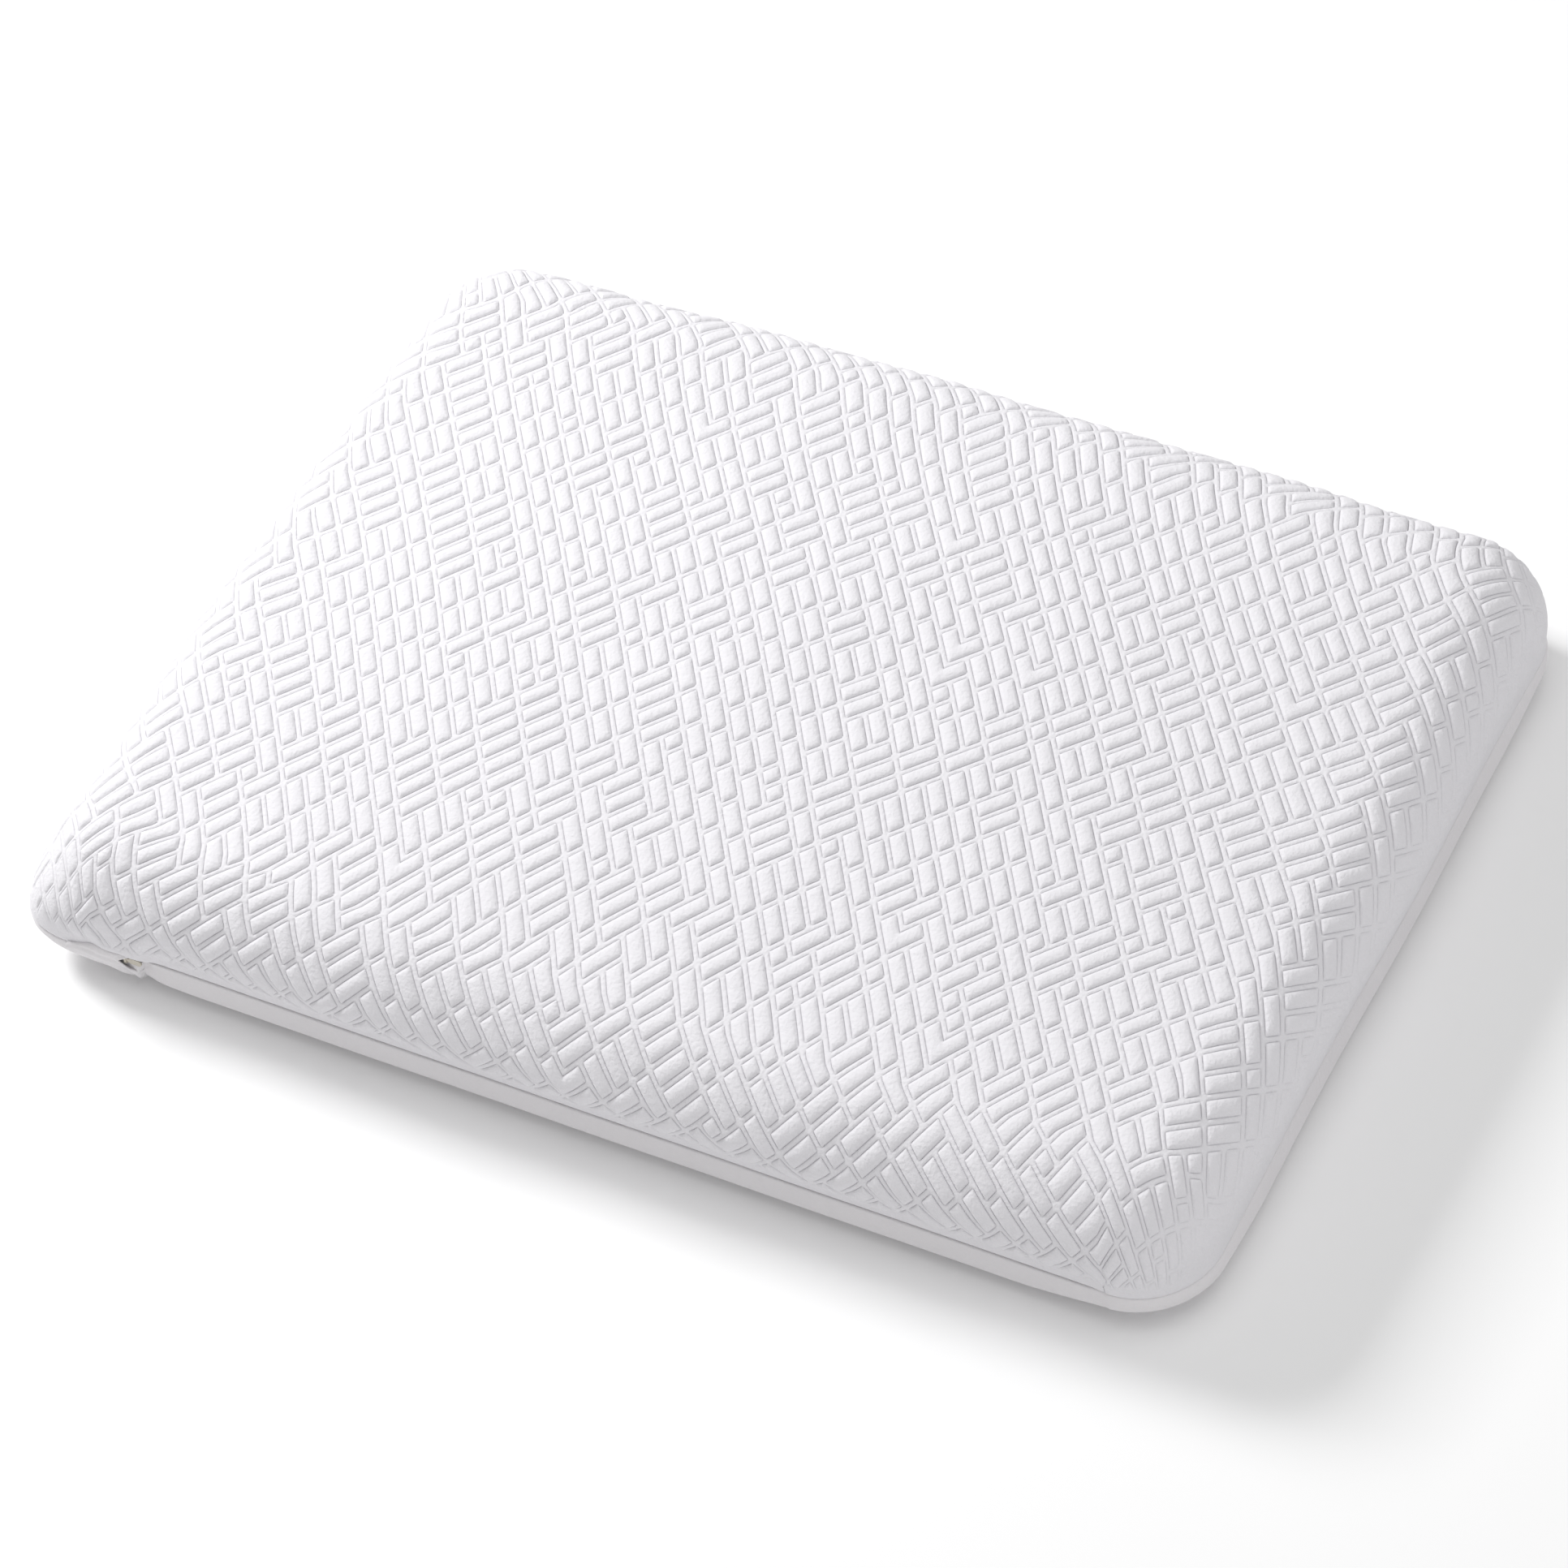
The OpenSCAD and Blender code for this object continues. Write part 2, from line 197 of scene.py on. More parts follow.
    def top_length(self, core, out):
        """Length of the fabric from the rim down to the end of its folded lip."""
        _, slope, radius, low = self.edge(core, out)
        turn = SEAM_Z + self.seam_gap(core, out, self.inset, SLOT_UP) + TUCK_R
        return radius * (math.pi / 2 - slope) + low - turn + TUCK_R * math.pi / 2 + LIP

    def top_side(self, core, out, d):
        """Points at the fabric distance D below the rim of the top."""
        _, slope, radius, low = self.edge(core, out)
        turn = SEAM_Z + self.seam_gap(core, out, self.inset, SLOT_UP) + TUCK_R
        arc = radius * (math.pi / 2 - slope)
        on_arc = np.clip(d, 0, arc)
        phi = slope + on_arc / radius
        inset = radius * (1 - np.sin(phi))
        z = low + radius * np.cos(phi)
        wall = np.clip(d - arc, 0, low - turn)
        z = z - wall
        on_tuck = np.clip(d - arc - (low - turn), 0, TUCK_R * math.pi / 2)
        inset = inset + TUCK_R * (1 - np.cos(on_tuck / TUCK_R))
        z = z - TUCK_R * np.sin(on_tuck / TUCK_R)
        lip = np.maximum(d - arc - (low - turn) - TUCK_R * math.pi / 2, 0)
        return self.outline(core, out, inset + lip, z, self.inset)

    def top(self, p):
        core, out, d = self.nearest(p, self.inset)
        points = self.dome(p)
        side = d > 0
        points[side] = self.top_side(core[side], out[side], d[side])
        return points


cover = Loaf()


def mesh_object(name, points, faces):
    mesh = bpy.data.meshes.new(name)
    mesh.from_pydata([tuple(p) for p in points.tolist()], [], [tuple(f) for f in faces])
    mesh.polygons.foreach_set("use_smooth", np.ones(len(mesh.polygons), bool))
    mesh.update()
    obj = bpy.data.objects.new(name, mesh)
    bpy.context.scene.collection.objects.link(obj)
    return obj


def point_attribute(obj, name, values):
    layer = obj.data.attributes.new(name, "FLOAT_VECTOR", "POINT")
    layer.data.foreach_set("vector", np.ascontiguousarray(values, np.float32).ravel())


def ring_faces(rings):
    """Quads between closed rings of vertex numbers, outward when they run anticlockwise downwards."""
    faces = []
    for upper, lower in zip(rings[:-1], rings[1:]):
        a, b = np.asarray(upper), np.asarray(lower)
        faces.append(np.stack([a, b, np.roll(b, -1), np.roll(a, -1)], axis=1))
    return np.concatenate(faces)


# Slow unevenness of the padding and the cloth over it
shape_rng = random.Random(11)
WAVES = [
    (
        shape_rng.uniform(0.4, 1.0),
        [shape_rng.uniform(-1, 1) * 2 * math.pi / shape_rng.uniform(0.07, 0.16) for _ in range(3)],
        shape_rng.uniform(0, 2 * math.pi),
    )
    for _ in range(9)
]


def sway(points):
    """Unevenness at each point, about -1 to 1."""
    total = np.zeros(len(points))
    for amplitude, wave, phase in WAVES:
        total += amplitude * np.sin(points @ np.array(wave) + phase)
    return total / 3.2


def sway_size(points):
    """How far the cloth strays from the loaf: more on the walls, hardly at all beside the zip."""
    wall = smooth((HEIGHT - 0.008 - points[:, 2]) / 0.03)
    size = 0.0005 + 0.0006 * wall
    beside_zip = smooth((points[:, 2] - SEAM_Z - 0.005) / 0.02) * 0.85 + 0.15
    front = (points[:, 1] < -HALF_W * 0.9) * (np.abs(points[:, 0]) < ZIP_X)
    return np.where(front, size * beside_zip, size)


def cell_matrix():
    rows = np.array(
        [[math.cos(ACROSS_A), math.sin(ACROSS_A)], [math.cos(ALONG_A), math.sin(ALONG_A)]]
    )
    return np.linalg.inv(rows) * np.array([ACROSS_P, ALONG_P])


def lay_blocks(count_u, count_v, rng):
    """Fills a grid of cells with the quilting's blocks. Returns for each cell the rectangle of its
    block, a second rectangle for the few angled blocks, and the block's own puff."""
    free = np.ones((count_u, count_v), bool)
    level = np.zeros((count_u, count_v), bool)
    upright = np.zeros((count_u, count_v), bool)
    first = np.zeros((count_u, count_v, 4))
    second = np.zeros((count_u, count_v, 4))
    puff = np.ones((count_u, count_v))

    def can(u0, v0, du, dv):
        inside = u0 + du <= count_u and v0 + dv <= count_v
        return inside and bool(free[u0 : u0 + du, v0 : v0 + dv].all())

    def put(parts):
        height = rng.uniform(0.88, 1.1)
        for u0, v0, du, dv in parts:
            cells = (slice(u0, u0 + du), slice(v0, v0 + dv))
            free[cells] = False
            level[u0, v0] = du > dv
            upright[u0, v0] = dv > du
            first[cells] = (parts[0][0], parts[0][1], sum(parts[0][::2]), sum(parts[0][1::2]))
            second[cells] = (parts[-1][0], parts[-1][1], sum(parts[-1][::2]), sum(parts[-1][1::2]))
            puff[cells] = height

    for v0 in range(count_v):
        for u0 in range(count_u):
            if not free[u0, v0]:
                continue
            same_column = v0 > 0 and level[u0, v0 - 1]
            same_row = u0 > 0 and upright[u0 - 1, v0]
            weights = (20 if same_row else 46, 8 if same_column else 40, 1.2, 13)
            kind = rng.choices(("upright", "level", "angled", "single"), weights)[0]
            run = rng.choices((1, 2, 3, 4), (3, 4, 3, 1))[0]
            if kind == "angled" and can(u0, v0, 2, 2):
                put([(u0, v0, 2, 1), (u0, v0, 1, 2)])
            elif kind == "upright" and can(u0, v0, 1, 2):
                for k in range(run):
                    if can(u0 + k, v0, 1, 2):
                        put([(u0 + k, v0, 1, 2)])
                    else:
                        break
            elif kind == "level" and can(u0, v0, 2, 1):
                for k in range(run):
                    if can(u0, v0 + k, 2, 1):
                        put([(u0, v0 + k, 2, 1)])
                    else:
                        break
            elif kind != "single" and can(u0, v0, 1, 2):
                put([(u0, v0, 1, 2)])
            elif kind != "single" and can(u0, v0, 2, 1):
                put([(u0, v0, 2, 1)])
            else:
                put([(u0, v0, 1, 1)])
    return first, second, puff


# A quilted block's corner radius, the widths of its steep shoulder and its gentle crown, and the
# width and lift of the channel floor beside the stitch line
BLOCK_R = 0.0011
SHOULDER, HALF_BLOCK = 0.0011, 0.0038
BAND = 0.0004
BAND_LIFT = 0.00010


def block_depth(u, v, rect):
    """Distance in metres inside a block's rounded outline, negative in the channels."""
    low = (rect[:, :2] + CHANNEL) * np.array([ACROSS_P, ALONG_P])
    high = (rect[:, 2:] - CHANNEL) * np.array([ACROSS_P, ALONG_P])
    at = np.stack([u * ACROSS_P, v * ALONG_P], axis=1)
    q = np.abs(at - (low + high) / 2) - (high - low) / 2 + BLOCK_R
    outside = np.linalg.norm(np.maximum(q, 0), axis=1) + np.minimum(q.max(axis=1), 0)
    return BLOCK_R - outside


def relief(depth, puff):
    """Height of the quilting over its stitch line."""
    shoulder = 1 - (1 - np.clip(depth / SHOULDER, 0, 1)) ** 2
    crown = 1 - (1 - np.clip(depth / HALF_BLOCK, 0, 1)) ** 2
    raised = shoulder * 0.62 + crown * 0.38
    band = smooth(-depth / BAND)
    return np.where(
        depth > 0,
        -GROOVE + (puff * PUFF + GROOVE) * raised,
        -GROOVE + (GROOVE + BAND_LIFT) * band,
    )


def quilt_strength(points, out):
    """How strongly the quilting stands out: less on the walls and none near the seam."""
    above = points[:, 2] - SEAM_Z
    fade = smooth((above - 0.0045) / 0.010)
    wall = smooth((HEIGHT - 0.014 - points[:, 2]) / 0.03)
    side = 0.6 + 0.35 * smooth(-out[:, 1] * 1.6 - 0.4) - 0.42 * smooth(out[:, 0] * 1.6 - 0.5)
    return fade * (1 - wall * (1 - side))


# How far the pattern's grid reaches past the plan, how much it drifts off straight lines, where
# it ends above the seam, and the half width of a stitched line
GRID_MARGIN = 0.075
DRIFT = 0.0016
GRID_END = 0.005
STITCH_HALF_W = 0.00045


def make_top_panel():
    to_plan = cell_matrix()
    reach = np.array([HALF_L + GRID_MARGIN, HALF_W + GRID_MARGIN])
    count = np.ceil(np.abs(np.linalg.inv(to_plan)) @ reach).astype(int) * 2
    steps = len(CELL_STEPS)
    first, second, puff = lay_blocks(count[0] + 1, count[1] + 1, random.Random(5))
    iu, iv = (np.arange(n * steps + 1) for n in count)
    frac = np.array(CELL_STEPS)
    lines_u, lines_v = iu // steps + frac[iu % steps], iv // steps + frac[iv % steps]
    u, v = (g.ravel() for g in np.meshgrid(lines_u, lines_v, indexing="ij"))
    cu, cv = (g.ravel() for g in np.meshgrid(iu // steps, iv // steps, indexing="ij"))
    plan = np.stack([u - count[0] / 2, v - count[1] / 2], axis=1) @ to_plan.T
    drift = DRIFT * np.stack(
        [np.sin(plan[:, 1] * 23 + 1.0) + np.sin(plan[:, 0] * 14), np.sin(plan[:, 0] * 19 + 2.0)],
        axis=1,
    )
    plan = plan + drift

    core, out, d = cover.nearest(plan, cover.inset)
    _, slope, radius, low = cover.edge(core, out)
    cut = radius * (math.pi / 2 - slope) + low - (SEAM_Z + GRID_END)
    inside = (d <= cut).reshape(len(iu), len(iv))
    number = np.arange(len(u)).reshape(len(iu), len(iv))
    corners = [number[:-1, :-1], number[1:, :-1], number[1:, 1:], number[:-1, 1:]]
    kept = inside[:-1, :-1] | inside[1:, :-1] | inside[1:, 1:] | inside[:-1, 1:]
    quads = np.stack([c[kept] for c in corners], axis=1)
    used = np.unique(quads)
    new = np.full(len(u), -1)
    new[used] = np.arange(len(used))
    quads = new[quads]

    plan, u, v, cu, cv = plan[used], u[used], v[used], cu[used], cv[used]
    core, out, d, cut = core[used], out[used], d[used], cut[used]
    r = cover.rim(cover.inset)[2]
    snapped = d > cut
    plan[snapped] = (core + out * (r + cut)[:, None])[snapped]

    points = cover.top(plan)
    step = 2e-4
    normal = norm(
        np.cross(
            cover.top(plan + [step, 0]) - cover.top(plan - [step, 0]),
            cover.top(plan + [0, step]) - cover.top(plan - [0, step]),
        )
    )
    cells = first[cu, cv], second[cu, cv], puff[cu, cv]
    depth = np.maximum(block_depth(u, v, cells[0]), block_depth(u, v, cells[1]))
    squeeze = np.clip(CORNER_R / np.maximum(r + d, CORNER_R), 0.3, 1)
    at_corner = 1 - smooth((np.abs(out).max(axis=1) - 0.93) / 0.07)
    strength = quilt_strength(points, out) * (1 - at_corner * (1 - squeeze) * 0.8)
    lift = relief(depth, cells[2]) * strength + sway(points) * sway_size(points)
    points = points + normal * lift[:, None]
    stitch = (1 - np.clip(np.abs(depth) / STITCH_HALF_W, 0, 1)) * np.sqrt(strength)

    rim = np.flatnonzero(snapped)
    rim = rim[np.argsort(np.arctan2(points[rim, 1], points[rim, 0]))]
    rings, all_points, start = [rim], [points], len(points)
    end = cover.top_length(core[rim], out[rim])
    flat = cover.top_side(core[rim], out[rim], cut[rim])
    sideways = np.stack([out[rim, 0], out[rim, 1], np.zeros(len(rim))], axis=1)
    push = sway(flat) * sway_size(flat)
    for t in (0.3, 0.55, 0.7, 0.78, 0.84, 0.89, 0.94, 1.0):
        ring = cover.top_side(core[rim], out[rim], cut[rim] + (end - cut[rim]) * t)
        all_points.append(ring + sideways * push[:, None])
        rings.append(np.arange(start, start + len(rim)))
        start += len(rim)
    faces = quads.tolist() + ring_faces(rings).tolist()
    marks = np.zeros((start, 3))
    marks[: len(points)] = np.stack([u, v, stitch], axis=1)
    obj = mesh_object("quilted_top_panel", np.concatenate(all_points), faces)
    point_attribute(obj, "quilt", marks)
    return obj


def outline_samples(loaf, spacing, fine=0.0):
    """Core points and outward directions round the outline at the walls, anticlockwise. The first
    FINE metres of the front are sampled closer."""
    hx, hy, r = loaf.rim(0.0)
    cores, outs = [], []
    corner_n = max(8, int(r * math.pi / 2 / (spacing * 0.6)))
    for k, (sx, sy) in enumerate(((1, 1), (-1, 1), (-1, -1), (1, -1))):
        core = np.array([sx * (hx - r), sy * (hy - r)])
        a = math.pi / 2 * (k + np.arange(corner_n) / corner_n)
        cores.append(np.repeat(core[None], corner_n, axis=0))
        outs.append(np.stack([np.cos(a), np.sin(a)], axis=1))
        nsx, nsy = ((-1, 1), (-1, -1), (1, -1), (1, 1))[k]
        following = np.array([nsx * (hx - r), nsy * (hy - r)])
        length = np.linalg.norm(following - core)
        t = np.arange(0, length - spacing / 2, spacing)
        if k == 2 and fine:
            t = np.concatenate([np.arange(0, fine, spacing / 4), t[t >= fine]])
        t, count = (t / length)[:, None], len(t)
        cores.append(core + (following - core) * t)
        end_a = math.pi / 2 * (k + 1)
        outs.append(np.repeat([[math.cos(end_a), math.sin(end_a)]], count, axis=0))
    return np.concatenate(cores), np.concatenate(outs)


def cornerness(loaf, core, out):
    wall = core + out * loaf.rim(0.0)[2]
    away = np.linalg.norm(np.abs(wall) - [loaf.hl, loaf.hw], axis=1)
    return smooth((0.085 - away) / 0.07)


def close_middle(rings, points, start, ring, middle_z, steps):
    """Rings that shrink a closed ring to one point at its middle."""
    centre = np.array([0.0, ring[:, 1].mean(), middle_z])
    for k in range(1, steps):
        t = 1 - k / steps
        points.append(centre + (ring - centre) * [t, t, 1])
        points[-1][:, 2] = ring[:, 2] + (middle_z - ring[:, 2]) * (1 - t)
        rings.append(np.arange(start, start + len(ring)))
        start += len(ring)
    points.append(centre[None])
    last = rings[-1]
    return [(int(a), start, int(b)) for a, b in zip(last, np.roll(last, -1))]


def base_pleat(points):
    """A three-cornered fold of the cloth below the parked slider, pointing at the floor: a crease
    on its left, a face that rises to the right and a free edge over a hollow."""
    x, z = points[:, 0], points[:, 2]
    foot, left, right, foot_z, top_z = PLEAT
    share = np.clip((z - foot_z) / (top_z - foot_z), 0, 1.1)
    crease = x - (foot + (left - foot) * share)
    edge = x - (foot + (right - foot) * share)
    width = (right - left) * share + 0.0012
    bulge = 0.0017 * np.exp(-((crease / 0.011) ** 2)) - 0.0012 * np.exp(-((crease / 0.0011) ** 2))
    face = -0.0001 + 0.0021 * np.clip(crease / width, 0, 1)
    hollow = -0.0017 * np.exp(-((edge / 0.007) ** 2))
    size = np.where(crease < 0, bulge, face)
    step = smooth(edge / 0.0008 + 0.5)
    height = smooth((z - 0.001) / 0.006) * smooth((SEAM_Z - z) / 0.003)
    return (size * (1 - step) + hollow * step) * height


def make_base_panel():
    spacing, fine_length = 0.0022, 0.045
    core, out = outline_samples(cover, spacing, fine=fine_length)
    lifted = cornerness(cover, core, out)
    across, up = BASE_EDGE_R + 0.005 + 0.016 * lifted, BASE_EDGE_R + 0.007 * lifted
    turn = SEAM_Z - cover.seam_gap(core, out, 0.0, SLOT_DOWN) - TUCK_R
    profile = [(np.full(len(core), TUCK_R + LIP), turn + TUCK_R)]
    for a in np.linspace(math.pi / 2, 0, 5):
        profile.append((np.full(len(core), TUCK_R * (1 - math.cos(a))), turn + TUCK_R * math.sin(a)))
    for t in (0.25, 0.5, 0.75):
        profile.append((np.zeros(len(core)), turn + (up - turn) * t))
    for a in np.linspace(math.pi / 2, 0, 11):
        profile.append((across * (1 - math.sin(a)), up * (1 - math.cos(a))))
    points, rings, start = [], [], 0
    sideways = np.stack([out[:, 0], out[:, 1], np.zeros(len(out))], axis=1)
    for inset, z in profile:
        ring = cover.outline(core, out, inset, z, 0.0)
        puff = 0.0009 * np.sin(np.clip(z / turn, 0, 1) * math.pi)
        beside_seam = ring * [1, 1, 0] + [0, 0, SEAM_Z + 0.005]
        drape = sway(beside_seam) * sway_size(beside_seam) * smooth(z / 0.012)
        pleat = base_pleat(ring) * smooth(-out[:, 1])
        points.append(ring + sideways * (puff + drape + pleat)[:, None])
        rings.append(np.arange(start, start + len(ring)))
        start += len(ring)
    fan = close_middle(rings, points, start, points[-1], 0.0, 9)
    faces = ring_faces(rings).tolist() + fan
    return mesh_object("plain_base_panel", np.concatenate(points), faces)


def box_loaf(upper, lower):
    """The straight-sided loaf with the top of one CAD node's box and the foot of another's."""
    lo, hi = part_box(upper)
    return Loaf(HALF_L - hi.x, HALF_W + lo.y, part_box(lower)[0].z, HEIGHT - hi.z, 0.0)


def loaf_rings(loaf, core, out, from_z=None, to_z=None):
    """Rings of a plain loaf from its rim to the resting face. FROM_Z and TO_Z are heights on its
    rounded edge to start or end at instead."""
    hx0, hy0, r0 = loaf.rim(0.0)
    hx, hy, r = loaf.rim(loaf.inset)
    on_rim = core * [(hx - r) / (hx0 - r0), (hy - r) / (hy0 - r0)]
    _, slope, radius, low = loaf.edge(on_rim, out)
    start = slope if from_z is None else np.arccos((from_z - low) / radius)
    end = np.full(len(out), math.pi / 2) if to_z is None else np.arccos((to_z - low) / radius)
    rings = []
    for t in np.linspace(0, 1, 13):
        phi = start + (end - start) * t
        inset, z = radius * (1 - np.sin(phi)), low + radius * np.cos(phi)
        rings.append(loaf.outline(core, out, inset, z, 0.0))
    if to_z is not None:
        return rings
    foot = loaf.base + loaf.base_r
    for t in (0.33, 0.66):
        rings.append(loaf.outline(core, out, 0 * low, low + (foot - low) * t, 0.0))
    for a in np.linspace(math.pi / 2, 0, 8):
        inset = np.full(len(out), loaf.base_r * (1 - math.sin(a)))
        z = np.full(len(out), loaf.base + loaf.base_r * (1 - math.cos(a)))
        rings.append(loaf.outline(core, out, inset, z, 0.0))
    return rings


def loaf_object(name, loaf, top, base, from_z=None, to_z=None):
    """A loaf or one cup of it, with its crown if TOP and its resting face if BASE."""
    core, out = outline_samples(loaf, 0.006)
    rings = loaf_rings(loaf, core, out, from_z, to_z)
    uneven = [r + norm((r - [0, 0, HEIGHT / 2]) * [1, 1, 3]) * 0.0004 * sway(r)[:, None] for r in rings]
    points, numbers, start, faces = [], [], 0, []
    if top:
        first = rings[0]
        for t in np.linspace(0.06, 0.94, 16):
            plan = (first[:, :2] - [0, loaf.mid_y]) * t
            points.append(loaf.dome(plan))
            numbers.append(np.arange(start, start + len(plan)))
            start += len(plan)
    for ring in uneven:
        points.append(ring)
        numbers.append(np.arange(start, start + len(ring)))
        start += len(ring)
    if base:
        faces += close_middle(numbers, points, start, points[-1], loaf.base, 12)
        start = sum(len(p) for p in points)
    if top:
        points.append(loaf.dome(np.zeros((1, 2))))
        faces += [(start, int(a), int(b)) for a, b in zip(numbers[0], np.roll(numbers[0], -1))]
    faces += ring_faces(numbers).tolist()
    return mesh_object(name, np.concatenate(points), faces)


# Thickness of the flap's cloth
GARAGE_T = 0.0007


def make_garage():
    """Flap of cover cloth folded over the parked end of the zip, open towards +X."""
    n_s, n_t = 60, 40
    grid = np.meshgrid(np.linspace(0, 1, n_s), np.linspace(0, 1, n_t), indexing="ij")
    s, t = grid[0].ravel(), grid[1].ravel()
    turn = math.pi * t
    mouth = MOUTH[0] + (MOUTH[1] - MOUTH[0]) * np.abs(np.cos(turn)) ** 1.5
    closed_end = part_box("zip_garage")[0].x - 0.002
    x = closed_end + (mouth - closed_end) * s
    ear_y = EAR * EAR_OUT[1] * np.exp(-(((x + HALF_L) / EAR_REACH[0]) ** 2))
    up, down = 0.0020 + 0.0032 * smooth(s * 2), 0.0018 + 0.0056 * smooth(s * 1.3)
    bulge = 0.0006 + 0.0028 * smooth(s * 1.4)
    inner = 0.0016 - 0.0018 * smooth(s * 1.5) * (t < 0.5)
    crease = 0.0007 * np.exp(-(((t - 0.25 - 0.35 * s) / 0.09) ** 2)) * smooth(s * 2)
    hem = 0.00035 * smooth((s - 0.9) / 0.08)
    y = -HALF_W + ear_y + inner - (bulge + inner) * np.sin(turn) ** 0.5 + crease - hem
    z = SEAM_Z - 0.0002 + np.where(t < 0.5, up, down) * np.cos(turn) * (1 + 0.1 * np.sin(7 * s))
    number = np.arange(n_s * n_t).reshape(n_s, n_t)
    quads = np.stack(
        [number[:-1, :-1], number[:-1, 1:], number[1:, 1:], number[1:, :-1]], axis=-1
    ).reshape(-1, 4)
    obj = mesh_object("zip_garage_fold", np.stack([x, y, z], axis=1), quads.tolist())
    thick = obj.modifiers.new("cloth", "SOLIDIFY")
    thick.thickness, thick.offset = GARAGE_T, -1
    return obj


def tube(path, radius, sides):
    """Points and quads of a round tube along a path."""
    ahead = norm(np.gradient(path, axis=0))
    side = norm(np.cross(ahead, [0.3, 1.0, 0.2]))
    up = np.cross(ahead, side)
    a = 2 * math.pi * np.arange(sides) / sides
    ring = side[:, None] * np.cos(a)[None, :, None] + up[:, None] * np.sin(a)[None, :, None]
    points = (path[:, None] + ring * radius).reshape(-1, 3)
    number = np.arange(len(points)).reshape(len(path), sides)
    around = np.roll(number, -1, axis=1)
    quads = np.stack([number[:-1], around[:-1], around[1:], number[1:]], axis=-1)
    return points, quads.reshape(-1, 4)


def make_coil(node, phase):
    """One wound monofilament in place of the CAD's round envelope."""
    lo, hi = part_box(node)
    pitch, wire, steps = 0.00125, 0.00036, 10
    turns = int((hi.x - lo.x - 2 * wire) / pitch)
    a = np.arange(turns * steps + 1) * 2 * math.pi / steps
    r = (hi.y - lo.y) / 2 - wire
    middle = (lo + hi) / 2
    path = np.stack(
        [
            lo.x + wire + a / (2 * math.pi) * pitch,
            middle.y + r * np.cos(a + phase),
            middle.z + r * np.sin(a + phase),
        ],
        axis=1,
    )
    points, quads = tube(path, wire, 5)
    return mesh_object(node + "_winding", points, quads.tolist())


top_panel = make_top_panel()
base_panel = make_base_panel()
core = loaf_object("foam_core_block", box_loaf("foam_core", "foam_core"), True, True)
liner = box_loaf("liner_top", "liner_base")
liner_top = loaf_object("liner_top_cup", liner, True, False, to_z=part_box("liner_top")[0].z)
liner_base = loaf_object("liner_base_cup", liner, False, True, from_z=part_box("liner_base")[1].z)
garage = make_garage()
coils = [make_coil("zip_coil_top", 0.0), make_coil("zip_coil_base", math.pi)]


# Materials


class Nodes:
    """Short calls for building one material's node tree."""

    def __init__(self, name, color, roughness):
        self.material = bpy.data.materials.new(name)
        self.material.use_nodes = True
        self.tree = self.material.node_tree
        self.shader = self.tree.nodes["Principled BSDF"]
        self.shader.inputs["Base Color"].default_value = (*color, 1)
        self.shader.inputs["Roughness"].default_value = roughness
        self.bump = None

    def add(self, kind, **values):
        node = self.tree.nodes.new(kind)
        for key, value in values.items():
            if key in node.inputs:
                node.inputs[key].default_value = value
            else:
                setattr(node, key, value)
        return node

    def link(self, source, target):
        self.tree.links.new(source, target)

    def math(self, operation, a, b=None, c=None):
        node = self.add("ShaderNodeMath", operation=operation)
        for socket, value in zip(node.inputs, (a, b, c)):
            if value is None:
                continue
            if isinstance(value, (int, float)):
                socket.default_value = value
            else:
                self.link(value, socket)
        return node.outputs[0]

    def place(self, scale=(1, 1, 1)):
        coordinates = self.add("ShaderNodeTexCoord")
        mapping = self.add("ShaderNodeMapping")
        mapping.inputs["Scale"].default_value = scale
        self.link(coordinates.outputs["Object"], mapping.inputs["Vector"])
        return mapping.outputs[0]

    def noise(self, scale, detail=2.0, where=None):
        node = self.add("ShaderNodeTexNoise", Scale=scale, Detail=detail)
        self.link(where or self.place(), node.inputs["Vector"])
        return node.outputs["Fac"]

    def ramp(self, value, low, high):
        """Value mapped from 0..1 to low..high."""
        node = self.add("ShaderNodeMapRange")
        node.inputs["To Min"].default_value = low
        node.inputs["To Max"].default_value = high
        self.link(value, node.inputs["Value"])
        return node.outputs["Result"]

    def tint(self, factor, a, b):
        node = self.add("ShaderNodeMix", data_type="RGBA")
        node.inputs["A"].default_value = (*a, 1)
        node.inputs["B"].default_value = (*b, 1)
        self.link(factor, node.inputs["Factor"])
        return node.outputs["Result"]

    def raise_by(self, height, distance, strength=1.0):
        node = self.add("ShaderNodeBump", Distance=distance, Strength=strength)
        self.link(height, node.inputs["Height"])
        if self.bump is not None:
            self.link(self.bump, node.inputs["Normal"])
        self.bump = node.outputs["Normal"]
        self.link(self.bump, self.shader.inputs["Normal"])


def sheen(nodes, weight, roughness=0.5):
    nodes.shader.inputs["Sheen Weight"].default_value = weight
    nodes.shader.inputs["Sheen Roughness"].default_value = roughness


